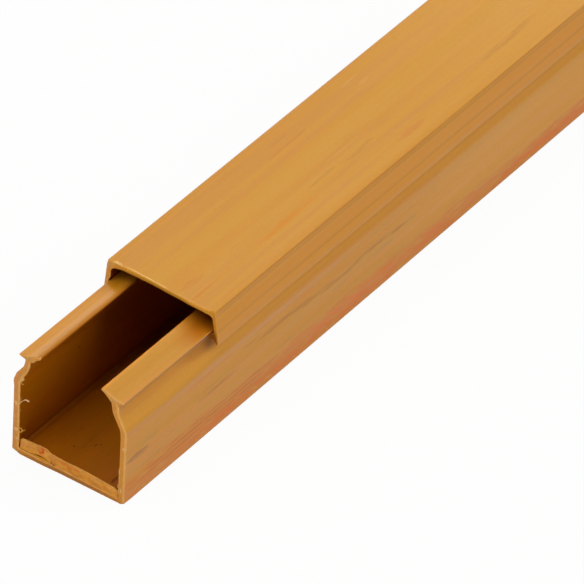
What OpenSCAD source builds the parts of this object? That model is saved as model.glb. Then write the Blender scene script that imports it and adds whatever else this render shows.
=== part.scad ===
// Cable trunking: a channel base and a clip-on lid, each one extrusion of constant section.
// X is across the channel, Y along it, Z up from the face that is fixed to the wall.
// The lid is slid back from the front end, so that the section of the base shows there.

/* [Length] */
// Length of the base and of the lid, as sold
length = 1000; // [200:50:2000]
// How far the lid is slid back from the front end of the base
setback = 25.8; // [0:0.1:100]

/* [Base channel] */
// Width over the side walls
base_w = 24; // [20:0.5:40]
// Gauge of the floor and the side walls
wall_t = 1.25; // [0.9:0.05:1.5]
// Height of the straight part of the side walls
wall_h = 15.8; // [8:0.2:30]
// Height of the shoulder that slopes inwards above each wall
shoulder_h = 3.9; // [2:0.1:6]
// How far each shoulder steps in
shoulder_in = 2; // [1:0.1:3]
// Height of the neck between the shoulder and the rim
neck_h = 1.75; // [1.2:0.05:3]
// How far each neck leans inwards over its height
neck_lean = 0.35; // [0.1:0.05:0.6]
// Gauge of the shoulders and the necks
neck_t = 1.05; // [0.8:0.05:1.2]

/* [Base rim] */
// How far the barb stands out from the neck
barb_reach = 1.4; // [1.2:0.05:1.8]
// How much the underside of the barb rises towards its edge
barb_rise = 0.35; // [0.1:0.05:0.6]
// Height of the blunt edge of the barb
barb_edge = 0.25; // [0.15:0.05:0.4]
// How far the lip stands into the channel from the neck
lip_reach = 2.15; // [1:0.05:3]
// Height of the blunt edge of the lip
lip_edge = 0.3; // [0.15:0.05:0.4]
// Height of the dip in the top of the rim above the top of the neck
dip_h = 1.1; // [0.9:0.05:1.6]
// How far the dip lies in from the outer face of the neck
dip_in = 0.8; // [0.3:0.05:1.2]
// How much the crest of the lip rises above the dip
crest_lift = 0.65; // [0.2:0.05:0.8]
// How far the crest stands into the channel from the neck
crest_reach = 1.35; // [0.6:0.05:1.8]

/* [Lid] */
// Clearance between the lid and the barbs of the base
fit_gap = 0.3; // [0.15:0.05:0.4]
// Height of the lid from the lower edge of its skirts to its top
lid_h = 7.25; // [6:0.05:10]
// Gauge of the top plate
plate_t = 1.05; // [0.7:0.05:1.5]
// Gauge of the skirts
skirt_t = 0.8; // [0.6:0.05:1.2]
// How far each skirt flares out over the height of the lid
skirt_flare = 1; // [0.3:0.05:1.6]
// Width of the lower edge of the skirt
skirt_edge = 0.35; // [0.2:0.05:0.6]
// Height of the hook above the lower edge of the skirt
hook_h = 2.1; // [1.6:0.05:2.6]
// How far the hook stands in from the skirt
hook_reach = 0.9; // [0.6:0.05:1.1]
// How much the upper face of the hook falls towards its nose
hook_drop = 0.65; // [0.4:0.05:0.9]
// Height of the blunt nose of the hook
hook_nose = 0.5; // [0.3:0.05:0.7]

/* [Roundings] */
// Outer lower corners of the base
foot_r = 0.4; // [0.2:0.1:1.2]
// Inner lower corners of the base
floor_r = 0.4; // [0.1:0.1:1.5]
// Bends of the wall at both ends of the shoulder
bend_r = 2; // [0.5:0.1:4]
// Inner corners where the rim meets the neck
nook_r = 0.3; // [0.1:0.05:0.5]
// Dip in the top of the rim
dip_r = 4; // [1:0.5:6]
// Crest of the lip
crest_r = 1.5; // [0.5:0.1:3]
// Edges of the barb, the lip and the hook
edge_r = 0.12; // [0.05:0.01:0.2]
// Upper outer corners of the lid
lid_r = 0.5; // [0.3:0.1:1.5]
// Upper inner corners of the lid
lid_inner_r = 1.2; // [0.2:0.1:1.5]

/* [Hidden] */
// Straight pieces in each rounded corner
arc_steps = 6;
// Most of a side that one rounded corner may take
corner_share = 0.45;
base_color = "#C98E46";
lid_color = "#D2984E";

// Outer face of the right-hand side of the base, from the centre of its underside to the top of its neck
keel = [0, 0];
foot = [base_w / 2, 0];
bend = [base_w / 2, wall_h];
waist = bend + [-shoulder_in, shoulder_h];
neck_top = waist + [-neck_lean, neck_h];

// Inner face of the same side, one gauge in from the outer face
floor_corner = inset(keel, foot, bend, wall_t, wall_t);
inner_bend = inset(foot, bend, waist, wall_t, neck_t);
inner_waist = inset(bend, waist, neck_top, neck_t, neck_t);
inner_neck_top = neck_top + neck_t * left_normal(waist, neck_top);

// Rim: the barb points outwards and the lip points into the channel; the top dips between them
barb = neck_top + [barb_reach, barb_rise];
barb_top = barb + [0, barb_edge];
dip = neck_top + [-dip_in, dip_h];
crest = [inner_neck_top.x - crest_reach, dip.y + crest_lift];
lip_top = [inner_neck_top.x - lip_reach, crest.y];
lip = lip_top - [0, lip_edge];

// Lid: its hooks lie under the barbs, and its skirts clear the edges of the barbs
hook_z = barb.y - fit_gap;
skirt_z = hook_z - hook_h;
lid_z = skirt_z + lid_h;
flare = skirt_flare / lid_h;
skirt_across = skirt_t * sqrt(1 + flare * flare);
lid_corner = [skirt_out(lid_z), lid_z];
skirt_corner = [skirt_out(skirt_z), skirt_z];
hook_root = [skirt_in(hook_z), hook_z];
nose_top = hook_root - [hook_reach, hook_drop];
plate_corner = [skirt_in(lid_z - plate_t), lid_z - plate_t];

// Faces of the right-hand skirt at height z
function skirt_in(z) = barb_top.x + fit_gap + (barb_top.y - z) * flare;
function skirt_out(z) = skirt_in(z) + skirt_across;

// Unit vector from a to b, and the one at right angles to its left
function toward(a, b) = (b - a) / norm(b - a);
function left_normal(a, b) = let (d = toward(a, b)) [-d.y, d.x];

// Corner p of the bent line a, p, b, moved in by gauge ta from its first side and by tb from its second
function inset(a, p, b, ta, tb) =
    let (
        m = left_normal(a, p),
        n = left_normal(p, b),
        c = m * n
    )
    p + ((ta - tb * c) * m + (tb - ta * c) * n) / (1 - c * c);

// Vector v turned by an angle
function turned(v, angle) = [v.x * cos(angle) - v.y * sin(angle), v.x * sin(angle) + v.y * cos(angle)];

// Arc of radius r in corner p, between its neighbours a and b; a short side limits it
function arc(a, p, b, r) =
    let (
        u = toward(p, a),
        v = toward(p, b),
        half = acos(u * v) / 2,
        run = min(r / tan(half), corner_share * min(norm(a - p), norm(b - p))),
        centre = p + toward([0, 0], u + v) * run / cos(half),
        start = p + u * run - centre,
        sweep = sign(cross(v, u)) * (180 - 2 * half)
    )
    [for (k = [0 : arc_steps]) centre + turned(start, sweep * k / arc_steps)];

// Closed outline through corners that are each a point and a radius
function rounded(corners) =
    let (n = len(corners))
    [
        for (i = [0 : n - 1])
            each arc(
                corners[(i + n - 1) % n][0],
                corners[i][0],
                corners[(i + 1) % n][0],
                corners[i][1]
            )
    ];

// Right-hand half of an outline, and its mirror image on the left
function both_sides(half) =
    concat(half, [for (i = [len(half) - 1 : -1 : 0]) [[-half[i][0].x, half[i][0].y], half[i][1]]]);

base_half = [
    [foot, foot_r],
    [bend, bend_r],
    [waist, bend_r],
    [neck_top, nook_r],
    [barb, edge_r],
    [barb_top, edge_r],
    [dip, dip_r],
    [crest, crest_r],
    [lip_top, edge_r],
    [lip, edge_r],
    [inner_neck_top, nook_r],
    [inner_waist, bend_r],
    [inner_bend, bend_r],
    [floor_corner, floor_r]
];

lid_half = [
    [lid_corner, lid_r],
    [skirt_corner, edge_r],
    [skirt_corner - [skirt_edge, 0], edge_r],
    [nose_top - [0, hook_nose], edge_r],
    [nose_top, edge_r],
    [hook_root, edge_r],
    [plate_corner, lid_inner_r]
];

// Section with the given half outline, extruded to the full length from its front end
module extruded(half, front) {
    translate([0, front + length, 0])
        rotate([90, 0, 0])
            linear_extrude(height = length)
                polygon(rounded(both_sides(half)));
}

module base() {
    color(base_color)
        extruded(base_half, -length / 2);
}

module lid() {
    color(lid_color)
        extruded(lid_half, setback - length / 2);
}

base();
lid();
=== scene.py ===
import bmesh
import bpy
import math
import numpy as np
from mathutils import Matrix, Vector, noise
from mathutils.geometry import delaunay_2d_cdt


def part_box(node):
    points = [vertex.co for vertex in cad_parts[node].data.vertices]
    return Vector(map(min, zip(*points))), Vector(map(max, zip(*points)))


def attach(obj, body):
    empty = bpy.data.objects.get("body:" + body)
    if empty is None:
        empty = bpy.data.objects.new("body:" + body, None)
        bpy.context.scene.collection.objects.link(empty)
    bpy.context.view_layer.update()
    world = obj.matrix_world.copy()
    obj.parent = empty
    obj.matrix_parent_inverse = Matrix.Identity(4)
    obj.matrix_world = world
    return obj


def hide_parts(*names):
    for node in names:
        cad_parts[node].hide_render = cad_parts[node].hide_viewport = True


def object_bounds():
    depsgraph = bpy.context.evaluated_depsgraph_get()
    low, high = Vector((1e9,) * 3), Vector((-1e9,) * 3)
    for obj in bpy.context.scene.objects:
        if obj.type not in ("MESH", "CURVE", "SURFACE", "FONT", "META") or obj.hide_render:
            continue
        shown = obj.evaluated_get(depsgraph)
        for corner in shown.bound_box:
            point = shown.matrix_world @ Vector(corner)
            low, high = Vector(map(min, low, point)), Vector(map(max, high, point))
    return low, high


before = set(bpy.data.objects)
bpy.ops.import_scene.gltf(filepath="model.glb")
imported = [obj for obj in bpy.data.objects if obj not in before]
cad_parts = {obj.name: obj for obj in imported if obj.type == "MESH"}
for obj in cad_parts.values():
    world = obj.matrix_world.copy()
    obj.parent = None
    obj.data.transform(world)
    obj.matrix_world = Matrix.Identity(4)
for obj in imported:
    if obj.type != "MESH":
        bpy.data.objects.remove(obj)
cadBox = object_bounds()

# Blender works in metres, all sizes below are millimetres
mm = 0.001
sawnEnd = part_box("base")[0].y / mm  # places along the trunking are counted from the base's sawn end
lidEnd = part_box("lid")[0].y / mm - sawnEnd
lidTop = cadBox[1][2] / mm
midLength = -sawnEnd  # the frame's origin is half way along the base
print("frame loaded:", ", ".join(sorted(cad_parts)))


def row(x, y, z):
    # a place in mm from the middle of the sawn end's foot, in the frame's metres
    return Vector((x, sawnEnd + y, z)) * mm


def hexColour(code):
    # an sRGB hex code as the linear colour that nodes take
    channels = [int(code[i:i + 2], 16) / 255 for i in (1, 3, 5)]
    return (*[c / 12.92 if c <= 0.04045 else ((c + 0.055) / 1.055) ** 2.4 for c in channels], 1.0)


def emptyTree(owner):
    # the cleared node tree of a material or a sky
    owner.use_nodes = True
    owner.node_tree.nodes.clear()
    return owner.node_tree


def addNode(tree, kind, settings=None):
    # a number or a name with a capital is an input, which takes a value or another node's output;
    # the other names are the node's own options
    node = tree.nodes.new("ShaderNode" + kind)
    for key, value in (settings or {}).items():
        if isinstance(value, bpy.types.NodeSocket):
            tree.links.new(value, node.inputs[key])
        elif isinstance(key, int) or key[0].isupper():
            node.inputs[key].default_value = value
        else:
            setattr(node, key, value)
    return node.outputs


def addPiece(name, shape, materials, body):
    # turns a bmesh into an object that moves with a body
    bmesh.ops.recalc_face_normals(shape, faces=shape.faces)
    mesh = bpy.data.meshes.new(name)
    shape.to_mesh(mesh)
    shape.free()
    piece = bpy.data.objects.new(name, mesh)
    bpy.context.scene.collection.objects.link(piece)
    for material in materials:
        mesh.materials.append(material)
    mesh.shade_smooth()
    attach(piece, body)
    print(name, "made with", len(mesh.polygons), "faces")
    return piece


# Camera: a long lens, high on the right of the sawn end
cameraSettings = {
    "azimuth": 33.09,  # degrees round from looking straight along the trunking
    "elevation": 38.42,
    "roll": 3.57,
    "lens": 422.0,
    "sensor": 36,
    "aim": (19.03, 37.92, 26.96),
    "distance": 1181.1,
}


def placeCamera(settings):
    azimuth, elevation, roll = [math.radians(settings[key]) for key in ("azimuth", "elevation", "roll")]
    flat = math.cos(elevation)
    back = Vector((math.sin(azimuth) * flat, -math.cos(azimuth) * flat, math.sin(elevation)))
    right = Vector((math.cos(azimuth), math.sin(azimuth), 0))
    turn = Matrix((right, back.cross(right), back)).transposed() @ Matrix.Rotation(roll, 3, "Z")
    camera = bpy.data.objects.new("camera", bpy.data.cameras.new("camera"))
    camera.data.lens = settings["lens"]
    camera.data.sensor_width = settings["sensor"]
    place = row(*settings["aim"]) + back * settings["distance"] * mm
    camera.matrix_world = Matrix.Translation(place) @ turn.to_4x4()
    bpy.context.scene.collection.objects.link(camera)
    bpy.context.scene.camera = camera


placeCamera(cameraSettings)
print("camera placed")

# Studio: white floor and sky, and wide lights round the trunking
studioSettings = {
    "floorColour": "#EFEFEC",
    "floorSize": 12000,
    "floorDrop": 0.02,  # just under the trunking, so the two faces don't lie in one plane
    "floorWhite": 0.95,  # share of plain white in what the camera sees of the floor, the rest is lit
    "skyStrength": 0.02,
    "lamps": {  # azimuth as for the camera, spread in degrees; a strength of pi lights a facing surface fully
        "topLight": {"azimuth": 0, "elevation": 85, "spread": 60, "strength": 0.77},
        "rightLight": {"azimuth": 122, "elevation": 38, "spread": 50, "strength": 1.5},
        "frontLight": {"azimuth": -20, "elevation": 62, "spread": 40, "strength": 0.56},
        "backLight": {"azimuth": 200, "elevation": 50, "spread": 40, "strength": 0.55},
        "lowLight": {"azimuth": -5, "elevation": 5, "spread": 12, "strength": 1.08},
        "ridgeLight": {"azimuth": 235, "elevation": 18, "spread": 12, "strength": 0.3},
    },
}


def seenByCamera(tree):
    # 1 for what the camera sees, straight, mirrored or through something clear
    path = addNode(tree, "LightPath")
    seen = path["Is Camera Ray"]
    for ray in ("Is Glossy Ray", "Is Transmission Ray"):
        seen = addNode(tree, "Math", {"operation": "ADD", "use_clamp": True, 0: seen, 1: path[ray]})[0]
    return seen


def mattePaper(settings):
    # uncoated white paper, rolled smooth: no shine at all, so only a faint shadow shows on it
    material = bpy.data.materials.new("matte white paper")
    tree = emptyTree(material)
    lit = addNode(tree, "BsdfDiffuse", {"Color": hexColour(settings["floorColour"])})[0]
    white = addNode(tree, "Emission", {"Strength": 1.0})[0]
    seen = seenByCamera(tree)
    share = addNode(tree, "Math", {"operation": "MULTIPLY", 0: seen, 1: settings["floorWhite"]})[0]
    both = addNode(tree, "MixShader", {0: share, 1: lit, 2: white})[0]
    addNode(tree, "OutputMaterial", {"Surface": both})
    return material


def buildStudio(settings):
    half = settings["floorSize"] / 2 * mm
    mesh = bpy.data.meshes.new("studioFloor")
    corners = [(-half, -half, 0), (half, -half, 0), (half, half, 0), (-half, half, 0)]
    mesh.from_pydata(corners, [], [(0, 1, 2, 3)])
    mesh.materials.append(mattePaper(settings))
    floor = bpy.data.objects.new("studioFloor", mesh)
    floor.location.z = -settings["floorDrop"] * mm
    bpy.context.scene.collection.objects.link(floor)

    # the camera sees a white sky, the trunking is lit by a much darker one
    world = bpy.data.worlds.new("studioSky")
    bpy.context.scene.world = world
    tree = emptyTree(world)
    level = addNode(tree, "MapRange", {"Value": seenByCamera(tree), "To Min": settings["skyStrength"]})[0]
    glow = addNode(tree, "Background", {"Color": (1, 1, 1, 1), "Strength": level})[0]
    addNode(tree, "OutputWorld", {"Surface": glow})

    for name, lamp in settings["lamps"].items():
        data = bpy.data.lights.new(name, "SUN")
        data.angle = math.radians(lamp["spread"])
        data.energy = lamp["strength"]
        light = bpy.data.objects.new(name, data)
        light.rotation_euler = (math.radians(90 - lamp["elevation"]), 0, math.radians(lamp["azimuth"]))
        bpy.context.scene.collection.objects.link(light)
    bpy.context.scene.view_settings.view_transform = "Standard"


buildStudio(studioSettings)
print("studio lit")

# Rigid PVC, the plastic of every piece
pvcIor = 1.53
markLevels = (0.05, 0.6)  # where a mark begins to show, and where it is full unless it has its own core
noiseSpan = {"interpolation_type": "SMOOTHSTEP", "From Min": 0.3, "From Max": 0.7}  # most noise lies in here


def patches(tree, place, sizes, detail, offset=0):
    # noise whose patches are so many mm along x, y and z; the offset moves to another part of it
    scale = [1 / (size * mm) for size in sizes]
    fit = addNode(tree, "Mapping", {"Vector": place, "Location": (offset, offset, offset), "Scale": scale})[0]
    return addNode(tree, "TexNoise", {"Vector": fit, "Scale": 1.0, "Detail": detail})["Fac"]


def streaks(tree, place, across, along, detail, offset=0):
    # the same, drawn out along the trunking
    return patches(tree, place, (across, along, across), detail, offset)


def overlay(tree, under, code, pattern, low, high, strength=1.0):
    # lays a colour over another where a pattern rises from a low level to a high one
    share = addNode(tree, "MapRange", {
        "interpolation_type": "SMOOTHSTEP",
        "Value": pattern,
        "From Min": low,
        "From Max": high,
        "To Max": strength,
    })[0]
    # inputs 0, 6 and 7 of a colour Mix are its factor and its two colours, output 2 is the colour
    return addNode(tree, "Mix", {"data_type": "RGBA", 0: share, 6: under, 7: hexColour(code)})[2]


def shaded(tree, colour, swings):
    # lightens and darkens a colour with patterns, each by a small share
    shade = 1.0
    for pattern, swing in swings:
        limits = {**noiseSpan, "To Min": -swing, "To Max": swing}
        eased = addNode(tree, "MapRange", {**limits, "Value": pattern})[0]
        shade = addNode(tree, "Math", {"operation": "ADD", 0: shade, 1: eased})[0]
    return addNode(tree, "VectorMath", {"operation": "SCALE", 0: colour, "Scale": shade})[0]


def paleEdgeAndHighlight(tree, colour, code):
    # strained plastic turns paler along the edges where the saw broke out; the paler colour is partly painted
    # highlight, on edges that face the light
    edge = addNode(tree, "Attribute", {"attribute_name": "cutEdge"})["Fac"]
    return addNode(tree, "Mix", {"data_type": "RGBA", 0: edge, 6: colour, 7: hexColour(code)})[2]


def warped(tree, place, settings):
    # pushes the marks a little across the trunking, so that their edges wander along it
    across, along = settings["across"] * mm, settings["along"] * mm
    fit = addNode(tree, "Mapping", {"Vector": place, "Scale": (1 / across, 1 / along, 1 / across)})[0]
    swing = addNode(tree, "TexNoise", {"Vector": fit, "Scale": 1.0, "Detail": 3.0})["Color"]
    centred = addNode(tree, "VectorMath", {"operation": "SUBTRACT", 0: swing, 1: (0.5, 0.5, 0.5)})[0]
    reach = [push * mm for push in settings["push"]]
    pushed = addNode(tree, "VectorMath", {"operation": "MULTIPLY", 0: centred, 1: reach})[0]
    return addNode(tree, "VectorMath", {"operation": "ADD", 0: place, 1: pushed})[0]


def paintMarks(tree, place, colour, tear, groups):
    # soft oval marks, each a centre and half sizes along x, y and z; a pattern tears their edges
    for group in groups.values():
        total = 0.0
        for x, y, z, halfX, halfY, halfZ in group["marks"]:
            half = Vector((halfX, halfY, halfZ)) * mm
            oval = {"vector_type": "TEXTURE", "Location": row(x, y, z), "Scale": half}
            fit = addNode(tree, "Mapping", {**oval, "Vector": place})[0]
            spot = addNode(tree, "TexGradient", {"gradient_type": "SPHERICAL", "Vector": fit})["Fac"]
            total = addNode(tree, "Math", {"operation": "MAXIMUM", 0: total, 1: spot})[0]
        if group.get("torn", True):
            total = addNode(tree, "Math", {"operation": "MULTIPLY", 0: total, 1: tear})[0]
        begins, full = markLevels
        full = group.get("core", full)
        colour = overlay(tree, colour, group["colour"], total, begins, full, group["strength"])
    return colour


def onCut(ovals, end=0, depth=2):
    # marks on a sawn end, each a centre and half sizes across and up
    return [(x, end, z, halfX, depth, halfZ) for x, z, halfX, halfZ in ovals]


def onLidTop(ovals, depth=0.5):
    # marks on the top of the lid, each a centre and half sizes across and along
    return [(x, y, lidTop, halfX, halfY, depth) for x, y, halfX, halfY in ovals]


def fullLength(x, z, halfX, halfZ):
    # one mark along the whole trunking, so long that it doesn't fade towards the ends
    return x, midLength, z, halfX, 3 * midLength, halfZ


def bothSides(x, z, halfX, halfZ):
    # the same on the right and on the left
    return [fullLength(side * x, z, halfX, halfZ) for side in (1, -1)]


def finishSkin(tree, look, colour, roughness, height):
    # the shader that both kinds of surface end in
    bump = addNode(tree, "Bump", {
        "Strength": look["bump"],
        "Distance": look["relief"] * mm,
        "Height": height,
    })[0]
    skin = addNode(tree, "BsdfPrincipled", {
        "IOR": pvcIor,
        "Specular IOR Level": look["sheen"],
        "Base Color": colour,
        "Roughness": roughness,
        "Normal": bump,
    })[0]
    addNode(tree, "OutputMaterial", {"Surface": skin})


def extrudedPvc(look):
    # rigid PVC drawn through a die: a satin skin with fine lines and a wood tint pulled out along the length
    material = bpy.data.materials.new(look["material"])
    tree = emptyTree(material)
    place = addNode(tree, "TexCoord")["Object"]
    wander = warped(tree, place, look["wander"])

    # the tint: broad bands, many times longer than wide, and short darker and redder wisps
    colour = hexColour(look["gold"])
    for streak in look["streaks"].values():
        lick = streaks(tree, wander, *streak["size"], detail=4.0, offset=streak["offset"])
        colour = overlay(tree, colour, streak["colour"], lick, *streak["levels"], streak["strength"])

    # fibres in the tint tear the edges of the marks
    fibre = streaks(tree, place, *look["fibre"], detail=4.0, offset=3)
    tear = addNode(tree, "MapRange", {
        "interpolation_type": "SMOOTHSTEP",
        "Value": fibre,
        "From Min": 0.32,
        "From Max": 0.68,
        "To Min": 0.1,
        "To Max": 1.9,
    })[0]
    colour = paintMarks(tree, wander, colour, tear, look["marks"])

    # die lines and grain are finer than a pixel in the real plastic and are drawn about twice as coarse
    lines = streaks(tree, place, *look["dieLine"], detail=2.0, offset=11)
    grain = streaks(tree, place, *look["grain"], detail=2.0, offset=5)
    colour = shaded(tree, colour, ((lines, look["lineShade"]), (grain, look["grainShade"])))

    # the faces that look at the cables get a browner, darker colour, which is painted shade inside the
    # channel, and a duller skin
    inside = addNode(tree, "Attribute", {"attribute_name": "inside"})["Fac"]
    insideShade = {"data_type": "RGBA", "blend_type": "MULTIPLY", 7: hexColour(look["inside"])}
    colour = addNode(tree, "Mix", {**insideShade, 0: inside, 6: colour})[2]
    colour = paleEdgeAndHighlight(tree, colour, look["edge"])

    peel = streaks(tree, place, *look["peel"], detail=1.0, offset=2)
    height = addNode(tree, "Math", {"operation": "ADD", 0: lines, 1: peel})[0]
    gloss = streaks(tree, place, *look["gloss"], detail=2.0, offset=9)
    smooth, rough = look["roughness"]
    roughness = addNode(tree, "MapRange", {**noiseSpan, "Value": gloss, "To Min": smooth, "To Max": rough})[0]
    finishSkin(tree, look, colour, roughness, height)
    return material


def sawnPvc(look):
    # the same plastic where a saw went through: dull, finely furrowed, pale along the edges it broke out at
    material = bpy.data.materials.new(look["material"])
    tree = emptyTree(material)
    place = addNode(tree, "TexCoord")["Object"]
    wander = warped(tree, place, look["wander"])
    cloud = patches(tree, place, look["cloud"], detail=4.0)
    colour = overlay(tree, hexColour(look["tan"]), look["dull"], cloud, *look["cloudLevels"])
    furrow = patches(tree, place, look["furrow"], detail=3.0)
    tear = addNode(tree, "MapRange", {**noiseSpan, "Value": furrow, "To Min": 0.5, "To Max": 1.5})[0]
    colour = paintMarks(tree, wander, colour, tear, look["marks"])
    colour = shaded(tree, colour, ((furrow, look["furrowShade"]),))
    colour = paleEdgeAndHighlight(tree, colour, look["edge"])
    finishSkin(tree, look, colour, look["roughness"], furrow)
    return material


# Sawn lengths: the CAD section, drawn out with the small faults of its cut end
cutSettings = {
    "spacing": 0.25,  # between points round the section
    "capSpacing": 0.2,  # and across the cut
    "stations": (0, 0.02, 0.05, 0.12, 0.25, 0.5, 1, 2, 4, 8, 16, 32, 64),  # rings of points from either end
    "stationStep": 80,  # and along the middle
    "round": 0.08,  # worn edge of the cut
    "burr": 0.07,  # how far plastic is dragged out where the saw left
    "burrDepth": 0.18,  # how soon that fades behind the cut
    "farBurr": 0.4,  # share of it at the far end
    "ragged": 0.03,
    "raggedDepth": 1,
    "dieLine": 0.008,
    "dieLineRun": 150,  # how slowly the die lines change along the length
    "furrow": 0.03,  # depth of the saw marks on the end
    "leastPale": 0.1,
    "paleEdgeAndHighlight": 0.14,  # width of the paler plastic along the edge of the cut, on the skin; partly painted highlight
    "paleCut": 0.26,  # and on the cut
    "skewDepth": 4,  # a cut that isn't square shifts the length behind it this far
    "sharpAngle": 50,  # edges that bend more than this stay crisp
}
squareCut = {  # a cut without faults
    "bend": 0,  # how far the side left of bendSide is bent in for each mm down
    "bendSide": -9,
    "bendDepth": 1,
    "chip": ((-12, 0), (12, 0)),  # across, and how high the foot is broken off there
    "chipDepth": 1,
    "skew": ((-12, 0), (12, 0)),  # across, and how far back the cut lies there
    "lean": ((-12, 0), (12, 0)),  # across, and its run back for each mm down
    "leanDepth": 0,
    "innerSwells": (),  # thicker faces: where, how far round it, how much and how far back from the cut
    "outerSwells": (),
}


def sectionOf(nodeName):
    # outline of the node's front end, walked round in order, as (x, z) in mm
    shape = bmesh.new()
    shape.from_mesh(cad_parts[nodeName].data)
    bmesh.ops.remove_doubles(shape, verts=shape.verts, dist=1e-6)
    front = min(vert.co.y for vert in shape.verts) + 1e-6
    beside = {}
    for edge in shape.edges:
        onEnd = all(vert.co.y < front for vert in edge.verts)
        onSide = any(vert.co.y > front for face in edge.link_faces for vert in face.verts)
        if onEnd and onSide:
            a, b = edge.verts
            beside.setdefault(a, []).append(b)
            beside.setdefault(b, []).append(a)
    start = min(beside, key=lambda vert: (vert.co.z, vert.co.x))
    walk = [start, beside[start][0]]
    while walk[-1] is not start:
        a, b = beside[walk[-1]]
        walk.append(b if a is walk[-2] else a)
    outline = np.array([(vert.co.x / mm, vert.co.z / mm) for vert in walk[:-1]])
    shape.free()
    after = np.roll(outline, -1, axis=0)
    turning = np.sum(outline[:, 0] * after[:, 1] - after[:, 0] * outline[:, 1])
    return outline if turning > 0 else outline[::-1]


def fineOutline(outline, spacing):
    points = []
    for a, b in zip(outline, np.roll(outline, -1, axis=0)):
        steps = max(1, math.ceil(np.linalg.norm(b - a) / spacing))
        points += [a + (b - a) * k / steps for k in range(steps)]
    return np.array(points)


def outwards(points):
    # unit normals of a closed outline that turns left
    along = np.roll(points, -1, axis=0) - np.roll(points, 1, axis=0)
    normals = np.stack([along[:, 1], -along[:, 0]], axis=1)
    return normals / np.linalg.norm(normals, axis=1, keepdims=True)


def wave(x, z, seed, lumps=1.0):
    # noise with so many lumps to a mm
    return noise.noise(Vector((x * lumps, z * lumps, seed)))


def tapered(away, depth):
    # 1 at a place, fading to 0 so many mm away from it
    return max(0, 1 - away / depth)


def insidePoints(ring, spacing, seed):
    # a jittered grid of points inside an outline, and for each the distance to that outline
    low, high = ring.min(axis=0), ring.max(axis=0)
    across, up = np.meshgrid(np.arange(low[0], high[0], spacing), np.arange(low[1], high[1], spacing))
    grid = np.stack([across.ravel(), up.ravel()], axis=1)
    grid += np.random.default_rng(seed).uniform(-0.3, 0.3, grid.shape) * spacing
    inside = np.zeros(len(grid), bool)
    nearest = np.full(len(grid), np.inf)
    for p, q in zip(ring, np.roll(ring, -1, axis=0)):
        crosses = (p[1] > grid[:, 1]) != (q[1] > grid[:, 1])
        rise = q[1] - p[1] if q[1] != p[1] else 1e-12
        inside ^= crosses & (grid[:, 0] < p[0] + (q[0] - p[0]) * (grid[:, 1] - p[1]) / rise)
        nearest = np.minimum(nearest, np.hypot(*(grid - p).T))
    keep = inside & (nearest > spacing * 0.6)
    return grid[keep], nearest[keep]


def insideRun(points, first, last):
    # 1 on the stretch of an outline that looks at the cables, walked from one edge of the mouth to the other,
    # and softened over a few points at its ends
    start, end = [np.argmin(np.hypot(*(points - edge).T)) for edge in (first, last)]
    order = np.arange(len(points))
    within = (order > start) & (order < end) if start < end else (order > start) | (order < end)
    return np.mean([np.roll(within, shift) for shift in range(-3, 4)], axis=0)


def capEnd(shape, ring, facing, seed, paleness, depthAt):
    # closes an end, with the saw's furrows across it
    edgeLayer = shape.verts.layers.float["cutEdge"]
    count = len(ring)
    outline = np.array([(vert.co.x / mm, vert.co.z / mm) for vert in ring])
    grid, nearest = insidePoints(outline, cutSettings["capSpacing"], seed)
    flat = [Vector(p) for p in np.concatenate([outline, grid])]
    sides = [(i, (i + 1) % count) for i in range(count)]
    places, _, faces, sources, *_ = delaunay_2d_cdt(flat, sides, [], 1, 1e-6)
    verts = []
    for (x, z), source in zip(places, sources):
        if source and source[0] < count:
            verts.append(ring[source[0]])
            continue
        furrow = wave(x * 3.5, z * 0.4, seed) + 0.6 * wave(x, z, seed + 5, lumps=0.4)  # scores and a swell
        y = depthAt(x, z) - facing * cutSettings["furrow"] * furrow
        vert = shape.verts.new(row(x, y, z))
        if source:
            k = source[0] - count
            closest = np.argmin(np.hypot(*(outline - grid[k]).T))
            vert[edgeLayer] = paleness[closest] * math.exp(-(nearest[k] / cutSettings["paleCut"]) ** 2)
        verts.append(vert)
    for corners in faces:
        face = shape.faces.new([verts[k] for k in corners])
        face.material_index = 1


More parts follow.
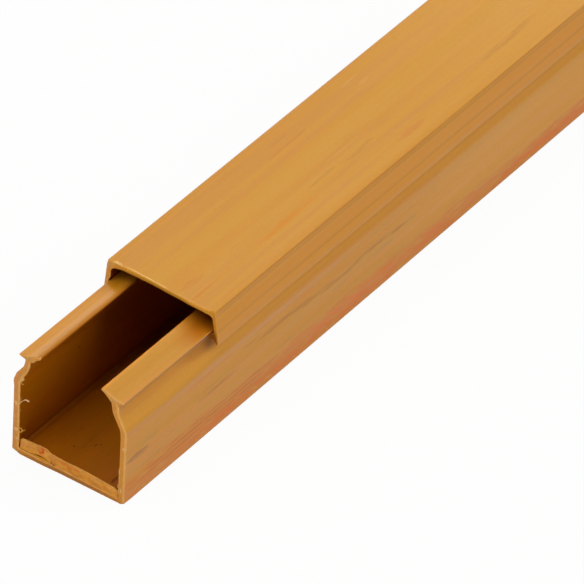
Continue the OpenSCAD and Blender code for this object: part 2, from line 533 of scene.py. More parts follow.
def sawnLength(name, nodeName, materials, cut):
    low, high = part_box(nodeName)
    front, length, top = low.y / mm - sawnEnd, (high.y - low.y) / mm, high.z / mm
    seed = cut["seed"]
    points = fineOutline(sectionOf(nodeName), cutSettings["spacing"])
    normals = outwards(points)
    inside = insideRun(points, *cut["mouth"])
    # edges that face the way the saw left get a burr and a paler colour; that paler colour is partly painted
    # highlight, as these edges face the light
    leaving = np.clip(normals @ np.array(cut["sawLeaves"]), 0, 1)
    outerPale, innerPale = cut["paleness"]
    paleness = cutSettings["leastPale"] + leaving * (outerPale + (innerPale - outerPale) * inside)
    near, step = cutSettings["stations"], cutSettings["stationStep"]
    middle = np.arange(near[-1] + step, length - near[-1], step)
    stations = [*near, *middle, *[length - d for d in reversed(near)]]

    def skew(x, z, d):
        lean = np.interp(x, *zip(*cut["lean"])) * min(top - z, cut["leanDepth"])
        return (np.interp(x, *zip(*cut["skew"])) + lean) * tapered(d, cutSettings["skewDepth"])

    def swollen(swells, x, z, d):
        return sum(size * tapered(math.dist((x, z), place), reach) * tapered(d, depth)
                   for place, reach, size, depth in swells)

    def bentIn(x, z, d):
        return cut["bend"] * (x < cut["bendSide"]) * max(0, top - z) * tapered(d, cut["bendDepth"])

    def chipped(x, z, d):
        return max(0, np.interp(x, *zip(*cut["chip"]), right=0) - z) * tapered(d, cut["chipDepth"])

    shape = bmesh.new()
    edgeLayer = shape.verts.layers.float.new("cutEdge")
    insideLayer = shape.verts.layers.float.new("inside")
    rings = []
    for d in stations:
        toEnd = min(d, length - d)
        gap = max(cutSettings["round"] - toEnd, 0)
        inset = cutSettings["round"] - math.sqrt(cutSettings["round"] ** 2 - gap ** 2)
        share = 1.0 if d < length / 2 else cutSettings["farBurr"]
        sawn = share * math.exp(-toEnd / cutSettings["burrDepth"])
        faded = math.exp(-(toEnd / cutSettings["paleEdgeAndHighlight"]) ** 2)
        ragged = cutSettings["ragged"] if 0 < toEnd < cutSettings["raggedDepth"] else 0
        ring = []
        for (x, z), (nx, nz), leave, inner, pale in zip(points, normals, leaving, inside, paleness):
            drag = cutSettings["burr"] * leave * (0.6 + 0.8 * wave(x, z, seed, lumps=1.7))
            push = sawn * (drag + cutSettings["ragged"] * wave(x, z, seed + 3, lumps=4)) - inset
            push += cutSettings["dieLine"] * wave(x, z, d / cutSettings["dieLineRun"] + seed, lumps=1.3)
            push += swollen(cut["innerSwells"], x, z, d) * inner
            push += swollen(cut["outerSwells"], x, z, d) * (1 - inner)
            across = x + nx * push + bentIn(x, z, d)
            y = front + d + skew(x, z, d) + sawn * ragged * wave(x, z, seed + 8, lumps=3)
            vert = shape.verts.new(row(across, y, z + nz * push + chipped(x, z, d)))
            vert[edgeLayer] = pale * faded * (0.7 + 0.6 * wave(x, z, seed))
            vert[insideLayer] = inner
            ring.append(vert)
        rings.append(ring)
    count = len(points)
    for a, b in zip(rings, rings[1:]):
        for i in range(count):
            j = (i + 1) % count
            face = shape.faces.new((a[i], a[j], b[j], b[i]))
            face.material_index = 2 if inside[i] + inside[j] > 1 else 0
    for ring, d, facing in ((rings[0], 0, -1), (rings[-1], length, 1)):
        capEnd(shape, ring, facing, seed, paleness, lambda x, z: front + d + skew(x, z, d))
    piece = addPiece(name, shape, materials, nodeName)
    piece.data.set_sharp_from_angle(angle=math.radians(cutSettings["sharpAngle"]))
    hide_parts(nodeName)


# Looks that the base and the lid share
skinLook = {
    "dieLine": (0.45, 90.0),  # across and along
    "grain": (0.35, 0.875),
    "peel": (0.8, 1.2),
    "gloss": (2.5, 60.0),
    "relief": 0.02,
    "bump": 0.25,
    "roughness": (0.4, 0.5),
}
sawnLook = {
    "material": "sawn rigid PVC",
    "tan": "#D68E32",
    "dull": "#CE8838",
    "cloud": (1.2, 1.2, 1.2),
    "cloudLevels": (0.35, 0.65),
    "furrow": (0.22, 4.0, 1.4),
    "furrowShade": 0.08,
    "wander": {"across": 0.8, "along": 3.0, "push": (0.3, 0.0, 0.3)},
    "relief": 0.03,
    "bump": 0.5,
    "roughness": 0.6,
    "sheen": 0.1,
    "edge": "#F0BE74",
    "marks": {
        "rose outer wall": {"colour": "#CA864A", "strength": 0.9, "core": 0.4, "marks": onCut([
            (-11.9, 9.0, 1.0, 12), (-11.1, 17.8, 0.9, 2.4), (-9.7, 20.6, 0.9, 2.2)])},
        "tan right wall": {"colour": "#C68230", "strength": 0.4, "core": 0.4, "marks": onCut([
            (11.4, 6.0, 1.3, 9)])},
        "brown foot": {"colour": "#AC6E2C", "strength": 1.0, "core": 0.4, "marks": onCut([
            (0, 0.35, 14, 0.7)])},
        "grey rim": {"colour": "#C4904E", "strength": 0.9, "marks": onCut([
            (-9.0, 22.0, 1.2, 0.8), (9.2, 21.9, 1.4, 0.7)])},
        "pale scuff": {"colour": "#DDB072", "strength": 0.8, "marks": onCut([
            (-11.4, 11.0, 0.5, 0.6), (-11.2, 5.2, 0.6, 0.5), (-11.0, 3.2, 0.5, 0.5), (11.3, 3.0, 0.3, 0.6),
            (11.5, 12.4, 0.4, 0.4)], depth=1)},
    },
}

# Base channel
baseLook = {
    **skinLook,
    "material": "extruded rigid PVC, base",
    "gold": "#D08C26",
    "streaks": {  # size across and along, the levels where it begins and is full, its own part of the noise
        "olive band": {"colour": "#CB8C24", "strength": 1.0,
                       "size": (2.4, 90), "levels": (0.4, 0.65), "offset": 0},
        "rose band": {"colour": "#D18930", "strength": 1.0,
                      "size": (1.6, 70), "levels": (0.45, 0.7), "offset": 7},
        "brown wisp": {"colour": "#B77A26", "strength": 0.5,
                       "size": (0.9, 13), "levels": (0.58, 0.74), "offset": 21},
        "red wisp": {"colour": "#D17C28", "strength": 0.6,
                     "size": (1.2, 18), "levels": (0.58, 0.74), "offset": 33},
    },
    "wander": {"across": 6.0, "along": 22.0, "push": (0.8, 0.0, 1.6)},
    "fibre": (0.35, 4.0),
    "lineShade": 0.014,
    "grainShade": 0.02,
    "sheen": 0.25,
    "edge": "#E8AD57",
    # multiplies the colour of the faces that look at the cables: painted shade inside the channel
    "inside": "#D7B742",
    "marks": {
        # painted light: the side wall lighter further along the trunking
        "painted light on far side run": {"colour": "#D6932D", "torn": False, "strength": 0.9, "marks": [
            (12, 150, 9.0, 2.0, 95, 10)]},
        "russet foot": {"colour": "#D17D1E", "strength": 1.0, "core": 0.55, "marks": [
            (12, 25, 2.9, 1.4, 120, 3.2), fullLength(12, 1.8, 1.4, 2.8), fullLength(-12, 2.6, 1.4, 3.6)]},
        "red foot": {"colour": "#D97317", "strength": 0.9, "marks": [
            (12, 40, 1.7, 1.2, 32, 0.9), (12, 72, 2.7, 1.2, 20, 2.2), (12, 95, 2.2, 1.2, 9, 1.9),
            (12, 140, 1.8, 1.2, 40, 1.2), fullLength(-12, 1.9, 1.2, 1.2)]},
        "russet line": {"colour": "#BB6D20", "strength": 0.7, "marks": [
            (12, 25, 3.9, 0.9, 34, 0.3), (12, 22, 2.8, 0.9, 32, 0.3), (12, 30, 4.9, 0.9, 26, 0.25)]},
        "golden shoulder": {"colour": "#D7932C", "torn": False, "strength": 0.9,
                            "marks": bothSides(11.2, 17.6, 1.5, 2.4)},
        "mauve shoulder": {"colour": "#CC8C44", "torn": False, "strength": 0.9, "marks": [
            (12, 8, 15.4, 1.2, 34, 0.7), (12, 45, 14.8, 1.2, 40, 0.8), (12, 500, 14.4, 1.2, 480, 1.1),
            fullLength(-12, 14.6, 1.2, 1.0)]},
        "dark smudge": {"colour": "#A66C2C", "strength": 0.9, "marks": [(12, 3.6, 9.3, 0.9, 4.0, 0.75)]},
        "brown smudge": {"colour": "#B97725", "strength": 0.8, "marks": [
            (12, 27, 9.7, 0.9, 7, 0.7), (12, 48, 11.8, 0.9, 11, 0.6), (12, 57, 11.2, 0.9, 7, 0.5),
            (12, 64, 10.5, 0.9, 8, 0.6), (12, 73, 11.0, 0.9, 9, 0.5), (12, 82, 10.6, 0.9, 7, 0.5)]},
        "grey smudge": {"colour": "#B78B41", "strength": 0.6, "marks": [
            (12, 7, 10.9, 0.9, 4, 0.8), (12, 77.5, 9.2, 0.9, 5, 0.7), (12, 86, 10.4, 0.9, 3, 0.6),
            (12, 64, 8.6, 0.9, 4, 0.5)]},
        # painted shade: darker where the floor meets the walls
        "painted shade in floor corners": {"colour": "#7A4510", "torn": False, "strength": 0.35, "marks": [
            fullLength(-10.7, 1.3, 1.6, 1.6), fullLength(10.7, 1.3, 1.1, 1.1)]},
        "brown right rim": {"colour": "#C68A28", "torn": False, "strength": 0.7, "marks": [
            fullLength(8.8, 22.6, 3.5, 1.3)]},
        "golden left rim": {"colour": "#D88E12", "torn": False, "strength": 0.8, "marks": [
            fullLength(-9.0, 22.4, 3.4, 1.4)]},
        # painted shade where the left lip rolls over towards the channel
        "painted shade on left lip": {"colour": "#C88414", "torn": False, "strength": 0.9, "marks": [
            fullLength(-6.5, 23.1, 1.9, 1.2)]},
        # painted highlight along the right lip
        "painted highlight on right lip": {"colour": "#E29212", "torn": False, "strength": 1.0, "marks": [
            fullLength(6.45, 23.1, 0.8, 0.6)]},
        # painted shade on the right rim under and in front of the lid
        "painted shade on rim under lid": {"colour": "#BE6C02", "torn": False, "strength": 1.0, "core": 0.4, "marks": [
            (8.8, 42, 22.6, 6, 28, 3), (8.8, 90, 22.6, 6, 60, 3), (8.8, 520, 22.6, 6, 480, 3)]},
        # painted shade of the lid's skirt on the neck and shoulder
        "painted shade on neck by lid": {"colour": "#B87410", "torn": False, "strength": 0.9, "marks": [
            (10.3, 27, 19.5, 2.0, 12, 2.6)]},
        # painted shade in the recess under the barbs
        "painted shade under barb": {"colour": "#A87640", "torn": False, "strength": 0.5,
                            "marks": bothSides(9.95, 20.0, 0.5, 0.45)},
        # painted highlight along the barbs' outer edges
        "painted highlight on barb edge": {"colour": "#DCA870", "torn": False, "strength": 0.35,
                           "marks": bothSides(11.1, 21.9, 0.3, 0.3)},
        "floor scuff": {"colour": "#7A4A18", "strength": 0.7, "marks": [
            (-3.5, 6.3, 1.25, 0.4, 0.35, 0.6), (-3.0, 6.9, 1.25, 0.3, 0.3, 0.6),
            (-0.5, 8.9, 1.25, 0.25, 0.6, 0.6), (0.1, 9.5, 1.25, 0.35, 0.25, 0.6),
            (-7.2, 5.0, 1.25, 0.25, 0.3, 0.6), (-5.1, 10.9, 1.25, 0.25, 0.2, 0.6),
            (-10.75, 17.1, 12.7, 0.6, 0.7, 0.35)]},
        "russet floor line": {"colour": "#8A3A08", "strength": 1.0, "marks": [
            (7.5, 3.3, 1.25, 0.34, 2.2, 0.6)]},
    },
}
rightLip = ((6.4, 23.05), 0.7, 0.16, 5000)  # this swell runs the whole length
baseCut = {
    **squareCut,
    "mouth": ((6.47, 23.1), (-6.95, 23.2)),  # the outline turns left, so its inner stretch runs right to left; on the left it reaches onto the lip's top, which so gets the inside's painted shade
    # the saw left towards the upper right, where the light also comes from: the paler edges there are partly
    # painted highlight
    "sawLeaves": (0.8, 0.6),  # across and up
    "paleness": (0.8, 0.8),  # of the outer and inner edges it left at
    "chip": ((-12.2, 0.6), (-10.7, 0.2), (-10.2, 0), (11.3, 0), (12.2, 0.5)),
    "chipDepth": 1.6,
    "skew": ((-12, -0.05), (-10.5, -0.12), (-5, -0.12), (-2, 0), (12, 0)),
    "innerSwells": (
        ((-10.75, 4.0), 6, 0.25, 4), ((-10.75, 12.5), 8, 0.14, 4), ((-9.4, 18.4), 2.2, 0.12, 4),
        ((-8.6, 20.6), 2.2, 0.12, 4), ((8.6, 20.6), 2.2, 0.14, 4), ((9.4, 18.4), 2.2, 0.2, 4),
        ((10.5, 16.2), 2.2, 0.14, 4), rightLip,
    ),
    "outerSwells": (((-11.2, 17.4), 3.0, 0.42, 4), ((9.8, 20.6), 1.7, 0.36, 4), rightLip),
    "seed": 2,
}
baseInsideLook = {**baseLook, "material": "extruded rigid PVC, inside of base", "sheen": 0.1}
baseSkins = [extrudedPvc(baseLook), sawnPvc(sawnLook), extrudedPvc(baseInsideLook)]
sawnLength("baseChannel", "base", baseSkins, baseCut)

# Lid
lidLook = {
    **skinLook,
    "material": "extruded rigid PVC, lid",
    "gold": "#D49232",
    "streaks": {
        "olive band": {"colour": "#D59635", "strength": 1.0,
                       "size": (3.0, 120), "levels": (0.4, 0.65), "offset": 0},
        "rose band": {"colour": "#D18F3B", "strength": 1.0,
                      "size": (1.8, 80), "levels": (0.45, 0.7), "offset": 7},
        "brown wisp": {"colour": "#C4862E", "strength": 0.3,
                       "size": (1.0, 16), "levels": (0.58, 0.74), "offset": 14},
        "red wisp": {"colour": "#D4832C", "strength": 0.4,
                     "size": (0.9, 14), "levels": (0.62, 0.78), "offset": 45},
    },
    "wander": {"across": 6.0, "along": 26.0, "push": (1.2, 0.0, 0.5)},
    "fibre": (0.45, 5.0),
    "lineShade": 0.012,
    "grainShade": 0.016,
    "sheen": 0.2,
    "edge": "#E4AE58",
    # multiplies the colour of the lid's underside: painted shade
    "inside": "#B48E30",
    "marks": {
        # painted light: the lid's top lighter further along the trunking
        "painted light on far lid run": {"colour": "#DA9C40", "torn": False, "strength": 0.9, "marks": [
            (0, 200, lidTop, 30, 130, 4)]},
        "mauve band": {"colour": "#D08E3A", "torn": False, "strength": 0.7, "marks": [
            (-7.8, 50, lidTop, 2.6, 75, 0.9)]},
        "olive band": {"colour": "#D49733", "torn": False, "strength": 0.8, "marks": [
            (-1.2, 60, lidTop, 2.6, 120, 0.9)]},
        "red streak": {"colour": "#CF8336", "strength": 0.6, "marks": onLidTop([
            (-8.1, 74, 0.35, 7), (-6.25, 73, 0.35, 8), (4.0, 29.5, 0.9, 4), (8.6, 89.5, 0.9, 5.5)])},
        "red end streak": {"colour": "#CF7F30", "strength": 0.7, "marks": onLidTop([
            (6.75, 26.5, 0.45, 4), (6.75, 30, 0.3, 5)])},
        "orange streak": {"colour": "#D8881C", "strength": 0.8, "marks": onLidTop([
            (6.4, 55, 0.8, 13)])},
        "dark smudge": {"colour": "#C88C38", "strength": 0.8, "marks": onLidTop([
            (4.7, 78.5, 1.0, 6), (6.7, 123, 0.9, 12), (4.2, 68, 0.5, 5)])},
        "pale glint": {"colour": "#DA9E4C", "strength": 0.6, "marks": onLidTop([
            (-8.5, 94.5, 0.35, 4), (-6.4, 96.5, 0.35, 3), (2.4, 77, 0.25, 8)])},
        # painted highlight along the top edge of the lid's cut
        "painted highlight along lid cut": {"colour": "#F8C870", "torn": False, "strength": 1.0, "core": 0.5, "marks": [
            (-6.2, lidEnd, lidTop, 2.6, 0.28, 0.8), (-3.2, lidEnd - 0.12, lidTop, 2.6, 0.28, 0.8),
            (-0.4, lidEnd - 0.28, lidTop, 2.4, 0.28, 0.8)]},
        "russet skirt": {"colour": "#D68D28", "torn": False, "strength": 0.9,
                         "marks": bothSides(12.2, 22.6, 1.6, 5)},
        # painted shade on the underside of the lid's plate
        "painted shade under lid plate": {"colour": "#8A5A1C", "torn": False, "strength": 0.8, "core": 0.4, "marks": [
            fullLength(0, 25.6, 10.5, 0.6)]},
        "orange corner line": {"colour": "#C47A1A", "torn": False, "strength": 0.7,
                               "marks": bothSides(11.6, 26.1, 0.45, 0.4)},
        "brown skirt line": {"colour": "#C88628", "torn": False, "strength": 0.8,
                             "marks": bothSides(11.6, 25.4, 0.9, 0.6) + bothSides(12.1, 22.0, 0.9, 0.5)},
        "rose skirt edge": {"colour": "#D18E3E", "torn": False, "strength": 0.9,
                            "marks": bothSides(12.4, 19.8, 0.9, 0.8)},
    },
}
lidSawnLook = {
    **sawnLook,
    "material": "sawn rigid PVC, lid",
    "tan": "#D8942C",
    "dull": "#D08E30",
    # near white: painted highlight along the top edge of the lid's cut
    "edge": "#FFC45E",
    "marks": {
        "brown middle": {"colour": "#B87A14", "strength": 0.9, "core": 0.4, "marks": onCut([
            (0, 25.6, 13, 0.75)], lidEnd, depth=3)},
        "golden corner": {"colour": "#E0983C", "strength": 0.8, "marks": onCut([
            (8.0, 26.5, 4, 0.7)], lidEnd, depth=3)},
        "golden skirt": {"colour": "#BA7818", "strength": 0.9, "core": 0.45, "marks": onCut([
            (11.9, 23.0, 1.4, 4.0)], lidEnd, depth=3)},
        # painted shade on the hook's end, under the base's barb
        "painted shade on hook end": {"colour": "#96580A", "strength": 1.0, "core": 0.45, "marks": onCut([
            (11.8, 20.2, 2.2, 2.4)], lidEnd, depth=3)},
        "rose corner": {"colour": "#CC9258", "strength": 0.8, "marks": onCut([
            (-11.4, 25.6, 1.6, 1.8), (-11.9, 22.4, 1.3, 3.6)], lidEnd, depth=3)},
    },
}
lidCut = {
    **squareCut,
    "mouth": ((-12.17, 19.4), (12.17, 19.4)),
    # the pale top edge of the lid's cut is painted highlight
    "sawLeaves": (0.2, 0.98),
    "paleness": (0.75, 0.0),
    "bend": 0.05,  # the left skirt
    "bendDepth": 40,
    "skew": ((-12.4, 0.1), (-11, 0.2), (-9, 0.15), (-6.5, 0.02), (-2, -0.2), (2, -0.42), (6.5, -0.6),
             (10, -0.6), (11.2, 0), (12.4, -0.1)),
    "lean": ((-12.4, -0.2), (-10, -0.3), (-8, -0.12), (-2, 0.14), (5, 0.1), (7, 0), (11.5, 0)),
    "leanDepth": 1.05,
    "innerSwells": (
        ((-10.86, 25.6), 2.6, 0.42, 4), ((-11.2, 23.2), 1.1, 0.3, 4), ((10.95, 21.1), 1.0, 0.3, 4),
        ((10.3, 25.2), 1.5, 0.12, 4),
    ),
    "seed": 6,
}
lidInsideLook = {**lidLook, "material": "extruded rigid PVC, inside of lid", "sheen": 0.1}
lidSkins = [extrudedPvc(lidLook), sawnPvc(lidSawnLook), extrudedPvc(lidInsideLook)]
sawnLength("lidCover", "lid", lidSkins, lidCut)

# Burrs: thin films that the saw pushed up and left hanging on the edge of the cut
burrLook = {  # torn, not cut: the same plastic, but smeared in patches and a little shinier
    **sawnLook,
    "material": "torn rigid PVC film",
    "tan": "#DA9131",
    "dull": "#C87D26",
    "cloud": (1.6, 3.0, 0.9),
    "furrow": (0.5, 4.0, 0.5),
    "furrowShade": 0.06,
    "wander": {"across": 0.8, "along": 3.0, "push": (0.4, 0.0, 0.3)},
    "roughness": 0.55,
    "sheen": 0.15,
    "edge": "#E8B468",
    "marks": {
        "pale patch": {"colour": "#DDA352", "strength": 0.4, "marks": onCut([
            (-9.3, 2.9, 0.9, 0.9), (-7.2, 3.0, 0.8, 0.8), (-4.6, 2.8, 1.0, 0.7), (2.5, 2.7, 1.4, 0.6),
            (6.0, 2.4, 2.0, 0.7), (9.2, 2.3, 1.2, 0.6)])},
        "rose patch": {"colour": "#D08A44", "strength": 0.7, "marks": onCut([
            (-8.2, 2.8, 0.45, 1.2), (-3.0, 2.6, 0.8, 0.6), (-9.8, 2.4, 0.5, 1.0)])},
        "orange patch": {"colour": "#CF7024", "strength": 0.9, "marks": onCut([
            (-1.0, 2.6, 0.7, 0.4), (0.2, 2.3, 0.9, 0.4), (1.8, 2.45, 0.9, 0.4)])},
        "red crescent": {"colour": "#CC541C", "torn": False, "strength": 1.0, "core": 0.4, "marks": onCut([
            (-5.8, 3.5, 0.3, 0.35), (-5.55, 3.2, 0.36, 0.42), (-5.5, 2.85, 0.38, 0.45),
            (-5.7, 2.55, 0.36, 0.36), (-6.0, 2.4, 0.36, 0.28)])},
        "golden tear": {"colour": "#DE9410", "torn": False, "strength": 0.9, "marks": onCut([
            (-5.6, 1.35, 2.4, 0.4)])},
        "dark nick": {"colour": "#5A3206", "strength": 1.0, "core": 0.4, "marks": onCut([
            (-3.57, 1.5, 0.22, 0.2), (-3.0, 1.25, 0.25, 0.18)])},
    },
}
swarfLook = {  # shavings: strained white by the saw, so paler than what they hang on
    **burrLook,
    "material": "pale swarf of rigid PVC",
    "tan": "#E2AE58",
    "dull": "#DFB67A",
    "marks": {
        "white end": {"colour": "#D4A47C", "torn": False, "strength": 1.0, "core": 0.3, "marks": [
            (-9.0, -0.2, 12.75, 0.8, 1, 0.6)]},
        "golden curl": {"colour": "#DAA43E", "torn": False, "strength": 0.9, "core": 0.3, "marks": [
            (-10.0, -0.2, 5.5, 1.4, 1, 1.2)]},
    },
}
flakeLook = {  # skin bent up at the edge of the cut: the palest plastic of all, painted paler still as a highlight where it faces the light
    **swarfLook,
    "material": "lifted edge of rigid PVC",
    "tan": "#F4BC62",
    "dull": "#EDB868",
    "edge": "#F8D08A",
}
burrSkin = sawnPvc(burrLook)
swarfSkin = sawnPvc(swarfLook)

filmSettings = {
    "ragged": ((0.06, 1.9), (0.03, 7)),  # ups and downs of the torn edge: their height, and how many to a mm
    "gapeLean": 1.4,  # over 1 puts the widest part of the tear to the right of its middle
    "rootRows": 5,  # points below the tear
    "bead": 0.12,  # height of the bead above the root
    "beadWidth": 0.1,
    "curlRun": 0.8,  # how much of the right end bends
    "paleEdgeAndHighlight": 0.12,  # width of the paler plastic along the torn edge and the bead; the pale line along the bead is painted highlight
    "paleness": 0.5,
}
floorFlap = {
    "ends": (-10.35, 10.75),  # across the floor
    "root": 0.95,  # height at which it hangs on
    "tops": ((-10.35, 3.1), (-9.9, 3.6), (-8.0, 3.65), (-4.7, 3.85), (-3.6, 3.3), (-0.7, 3.15), (2.6, 3.25),
             (6.0, 3.1), (9.8, 2.85), (10.75, 2.45)),
    "at": -0.05,
    "lean": 0.1,  # run back for each mm of height
    "ripple": 0.08,
    "ledge": 0.12,  # how far the bead along the root stands out
    "curl": 0.15,  # how far the right end bends forward
    "slit": {"ends": (-8.8, -3.95), "height": 1.28, "rise": 0.36, "open": 0.13},  # tear above the root
    "gauge": 0.08,
    "step": 0.09,
    "seed": 4,
}
lidFlake = {
    "ends": (-10.3, -8.2),
    "root": 26.5,
    "tops": ((-10.3, 26.62), (-9.9, 26.76), (-9.6, 26.95), (-9.3, 26.8), (-8.9, 26.84), (-8.2, 26.6)),
    "at": lidEnd - 0.08,
    "lean": 0.8,
    "ripple": 0.06,
    "ledge": 0.03,
    "curl": 0.0,
    "slit": {"ends": (-10.3, -8.2), "height": 26.55, "rise": 0.0, "open": 0.0},  # shut
    "gauge": 0.08,
    "step": 0.07,
    "seed": 9,
}


def burrFilm(name, settings, material, body):
    left, right = settings["ends"]
    slit, root, seed = settings["slit"], settings["root"], settings["seed"]
    slitLeft, slitRight = slit["ends"]
    columns = math.ceil((right - left) / settings["step"])
    highest = max(top for x, top in settings["tops"])
    rows = math.ceil((highest - root) / settings["step"])
    shape = bmesh.new()
    edgeLayer = shape.verts.layers.float.new("cutEdge")
    net = []
    for x in np.linspace(left, right, columns + 1):
        top = np.interp(x, *zip(*settings["tops"]))
        top += sum(height * wave(x * count, seed, 0) for height, count in filmSettings["ragged"])
        along = np.clip((x - slitLeft) / (slitRight - slitLeft), 0, 1)
        gape = math.sin(math.pi * along ** filmSettings["gapeLean"])
        middle = slit["height"] + slit["rise"] * gape
        under = np.linspace(root, middle - slit["open"] * gape, filmSettings["rootRows"])
        over = np.linspace(middle + slit["open"] * gape, top, rows)
        line = []
        for z in (*under, *over):
            rise = z - root
            toBead = rise - filmSettings["bead"]
            y = settings["at"] + settings["lean"] * rise
            y += settings["ripple"] * wave(x * 0.9, z * 0.7, seed) * rise / (highest - root)
            y -= settings["ledge"] * math.exp(-(toBead / filmSettings["beadWidth"]) ** 2)
            y -= settings["curl"] * tapered(right - x, filmSettings["curlRun"]) ** 2
            vert = shape.verts.new(row(x, y, z))
            toEdge = min(abs(top - z), abs(toBead))
            vert[edgeLayer] = filmSettings["paleness"] * math.exp(-(toEdge / filmSettings["paleEdgeAndHighlight"]) ** 2)
            line.append(vert)
        net.append(line)
    for a, b in zip(net, net[1:]):
        for k in range(len(a) - 1):
            if k != filmSettings["rootRows"] - 1:  # the tear stays open
                shape.faces.new((a[k], b[k], b[k + 1], a[k + 1]))
    bmesh.ops.remove_doubles(shape, verts=shape.verts, dist=1e-7)
    bmesh.ops.recalc_face_normals(shape, faces=shape.faces)
    bmesh.ops.solidify(shape, geom=shape.faces[:], thickness=settings["gauge"] * mm)
    addPiece(name, shape, [material], body)


burrFilm("floorFlap", floorFlap, burrSkin, "base")
burrFilm("lidFlake", lidFlake, sawnPvc(flakeLook), "lid")

# Fringe: ragged plastic along the edges where the saw came out
fringeSettings = {
    "step": 0.06,  # between points along an edge
    "gauge": 0.05,
    "tufts": 0.9,  # to a mm
    "cover": 0.45,  # more of it leaves less of the edge bare
    "hairs": 5,  # to a mm
    "stubble": 0.04,  # share of the reach that bare stretches keep
    "grip": 0.06,  # how far it laps over the edge
    "lean": 0.25,  # run back for each mm out
    "ripple": 0.06,
    "paleness": 0.7,
}
fringes = {
    "baseFringe": {"body": "base", "at": -0.03, "runs": [
        {"line": ((-10.8, 2.2), (-10.8, 15.6), (-10.4, 16.9)),
         "towards": (1.0, 0.1), "reach": 0.42, "seed": 1},
        {"line": ((-10.4, 16.9), (-9.0, 19.6), (-8.68, 21.1)),
         "towards": (0.9, -0.3), "reach": 0.55, "seed": 2},
        {"line": ((-8.6, 21.3), (-6.6, 22.95)), "towards": (0.5, -0.8), "reach": 0.4, "seed": 3},
        {"line": ((-6.6, 22.9), (-6.5, 23.2)), "towards": (1.0, 0.4), "reach": 0.4, "seed": 4},
        {"line": ((10.8, 2.0), (10.8, 8.0)), "towards": (-1.0, 0.0), "reach": 0.14, "seed": 5},
    ]},
    "lidFringe": {"body": "lid", "at": lidEnd - 0.03, "runs": [
        {"line": ((10.6, 20.3), (12.15, 19.45)), "towards": (-0.3, -0.9), "reach": 0.2, "seed": 8},
    ]},
}


def addTufts(shape, at, run):
    edgeLayer = shape.verts.layers.float["cutEdge"]
    corners, seed = np.array(run["line"]), run["seed"]
    towardsX, towardsZ = run["towards"]
    reached = np.concatenate([[0], np.cumsum(np.hypot(*np.diff(corners, axis=0).T))])
    last = None
    for s in np.arange(0, reached[-1], fringeSettings["step"]):
        x, z = [np.interp(s, reached, corners[:, k]) for k in (0, 1)]
        tuft = max(0, wave(s * fringeSettings["tufts"], seed, 0) + fringeSettings["cover"])
        tuft *= 0.7 + 1.2 * wave(s * fringeSettings["hairs"], seed, 3)
        out = run["reach"] * max(fringeSettings["stubble"], tuft)
        hair = []
        for reach in (-fringeSettings["grip"], 0.5 * out, out):
            y = at + fringeSettings["lean"] * reach + fringeSettings["ripple"] * wave(s * 2, reach, seed)
            vert = shape.verts.new(row(x + towardsX * reach, y, z + towardsZ * reach))
            vert[edgeLayer] = fringeSettings["paleness"]
            hair.append(vert)
        if last:
            for k in (0, 1):
                shape.faces.new((last[k], hair[k], hair[k + 1], last[k + 1]))
        last = hair


for fringeName, fringe in fringes.items():
    shape = bmesh.new()
    shape.verts.layers.float.new("cutEdge")
    for fringeRun in fringe["runs"]:
        addTufts(shape, fringe["at"], fringeRun)
    bmesh.ops.recalc_face_normals(shape, faces=shape.faces)
    bmesh.ops.solidify(shape, geom=shape.faces[:], thickness=fringeSettings["gauge"] * mm)
    addPiece(fringeName, shape, [swarfSkin], fringe["body"])

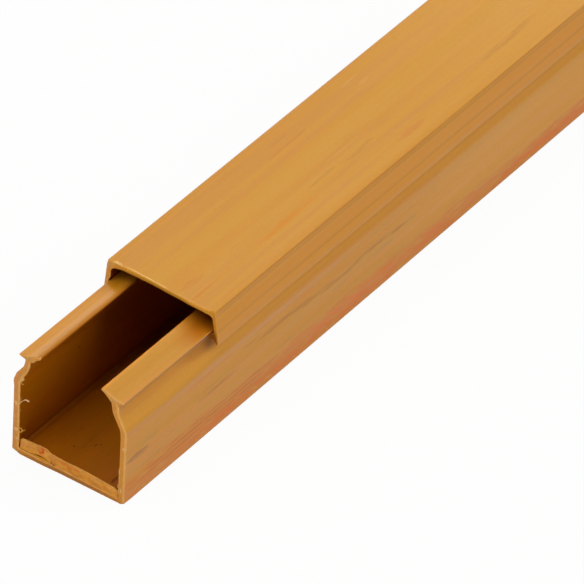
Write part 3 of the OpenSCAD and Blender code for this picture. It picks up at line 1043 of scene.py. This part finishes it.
# Swarf: threads and crumbs that cling to the sawn end
swarf = {
    "threads": [  # points to pass, then the radius at either end
        (((-10.75, -0.05, 11.0), (-10.3, -0.2, 11.7), (-9.85, -0.25, 12.3), (-9.4, -0.25, 12.7)), 0.05, 0.08),
        (((-9.55, -0.25, 12.6), (-9.3, -0.25, 12.8), (-8.95, -0.2, 12.85), (-8.6, -0.15, 12.65)), 0.1, 0.2),
        (((-10.45, -0.1, 11.5), (-10.35, -0.2, 12.1), (-10.25, -0.2, 12.85)), 0.05, 0.04),
        (((-10.95, -0.05, 5.3), (-10.5, -0.2, 5.0), (-10.0, -0.25, 5.2), (-9.6, -0.2, 5.8),
          (-9.2, -0.2, 6.1)), 0.08, 0.06),
        (((-10.5, -0.1, 5.2), (-10.6, -0.2, 5.8), (-10.1, -0.25, 6.1), (-9.75, -0.2, 5.7),
          (-10.0, -0.2, 5.2)), 0.08, 0.08),
        (((-11.1, -0.05, 3.4), (-10.9, -0.2, 3.0), (-10.6, -0.2, 3.3)), 0.06, 0.05),
        (((-10.6, -0.05, 16.0), (-10.2, -0.15, 15.7), (-9.9, -0.1, 15.8)), 0.06, 0.04),
        (((10.75, -0.05, 3.4), (10.6, -0.15, 3.8), (10.7, -0.15, 4.3)), 0.05, 0.03),
    ],
    "threadSides": 6,
    "threadRounds": 3,  # how often the corners of its path are cut off
    "crumbs": [  # places, then sizes
        ((-10.05, -0.15, 16.9), 0.46), ((-10.4, -0.1, 16.4), 0.34), ((-10.3, -0.05, 17.3), 0.2),
        ((-7.9, -0.05, 21.8), 0.2), ((-6.5, -0.05, 23.35), 0.2), ((-8.15, -0.05, 21.75), 0.16),
        ((-10.55, -0.1, 4.4), 0.14),
    ],
    "crumbFlat": 0.5,  # depth of a crumb as a share of its width
}


def addThread(shape, points, start, end):
    path = np.array(points)
    for _ in range(swarf["threadRounds"]):
        cuts = [(0.75 * a + 0.25 * b, 0.25 * a + 0.75 * b) for a, b in zip(path, path[1:])]
        path = np.concatenate([path[:1], *cuts, path[-1:]])
    sides = swarf["threadSides"]
    rings = []
    for k, place in enumerate(path):
        along = Vector(path[min(k + 1, len(path) - 1)] - path[max(k - 1, 0)]).normalized()
        side = along.cross(Vector((0, 1, 0.1))).normalized()
        radius = start + (end - start) * k / (len(path) - 1)
        ring = []
        for j in range(sides):
            turn = 2 * math.pi * j / sides
            spoke = side * math.cos(turn) + along.cross(side) * math.sin(turn)
            ring.append(shape.verts.new(row(*(Vector(place) + radius * spoke))))
        rings.append(ring)
    for a, b in zip(rings, rings[1:]):
        for j in range(sides):
            shape.faces.new((a[j], a[(j + 1) % sides], b[(j + 1) % sides], b[j]))
    shape.faces.new(rings[0])
    shape.faces.new(rings[-1])


def addCrumb(shape, place, size):
    made = bmesh.ops.create_icosphere(shape, subdivisions=2, radius=1.0)
    for vert in made["verts"]:
        lump = size * (0.8 + 0.7 * wave(*(vert.co * 1.6 + Vector(place))))
        flattened = Vector((vert.co.x, vert.co.y * swarf["crumbFlat"], vert.co.z))
        vert.co = row(*(Vector(place) + flattened * lump))


shape = bmesh.new()
for threadPoints, startRadius, endRadius in swarf["threads"]:
    addThread(shape, threadPoints, startRadius, endRadius)
for crumbPlace, crumbSize in swarf["crumbs"]:
    addCrumb(shape, crumbPlace, crumbSize)
addPiece("swarf", shape, [swarfSkin], "base")
